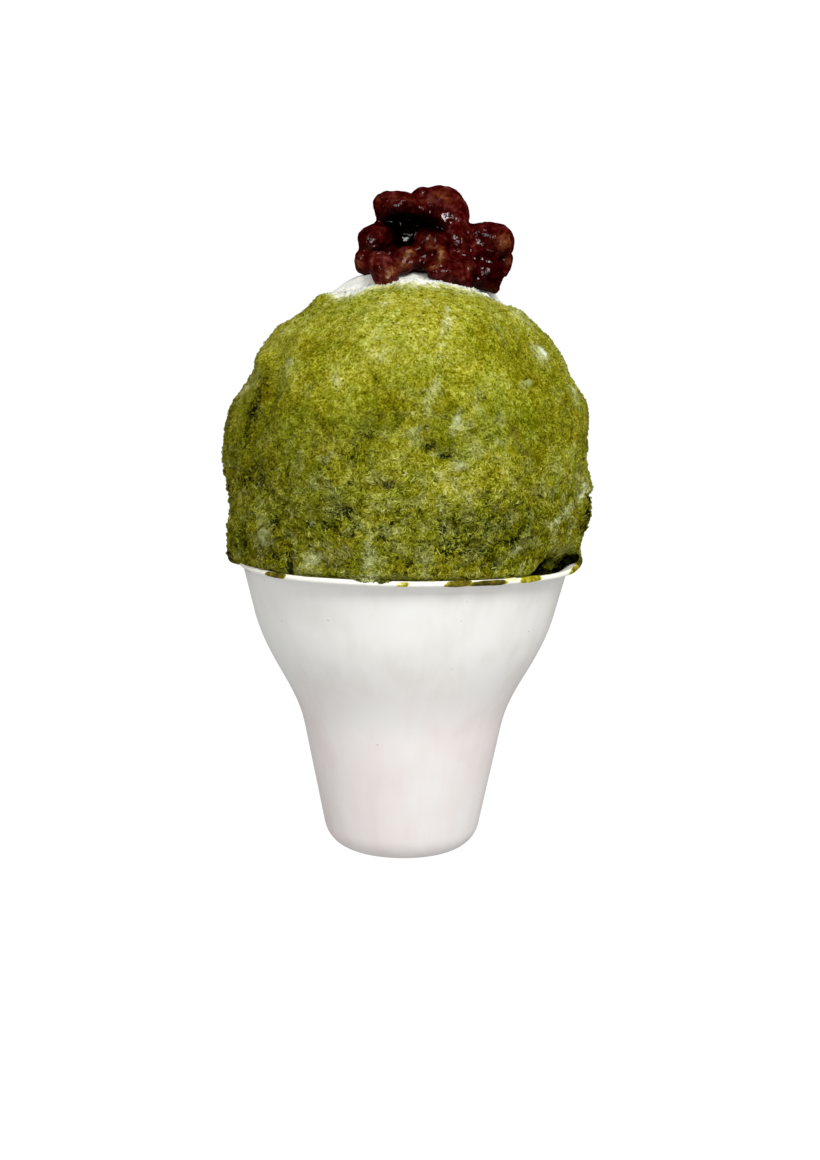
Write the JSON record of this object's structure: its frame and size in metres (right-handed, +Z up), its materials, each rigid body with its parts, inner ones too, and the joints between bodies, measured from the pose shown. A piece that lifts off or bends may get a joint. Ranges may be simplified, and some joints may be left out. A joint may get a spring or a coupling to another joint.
{
  "type": "kakigori",
  "caption": "Dome of green tea shaved ice heaped over a flared white takeaway cup, topped with cream and a heap of glossy sweet red beans.",
  "frame": {"origin": "middle of the flat foot that the cup stands on", "axes": "+Z up along the cup's axis, towards the beans; -Y is the front"},
  "size_m": [0.1216, 0.1203, 0.2165],
  "materials": {
    "cup": "matt white, faintly mottled",
    "shaved_ice": "damp, fluffy crystals soaked with green tea syrup",
    "cream": "soft satin white",
    "red_beans": "wet gloss, wrinkled skins"
  },
  "bodies": {
    "root": {"cup": "cup", "shaved_ice": "shaved_ice", "cream": "cream", "red_beans": "red_beans"}
  },
  "joints": []
}
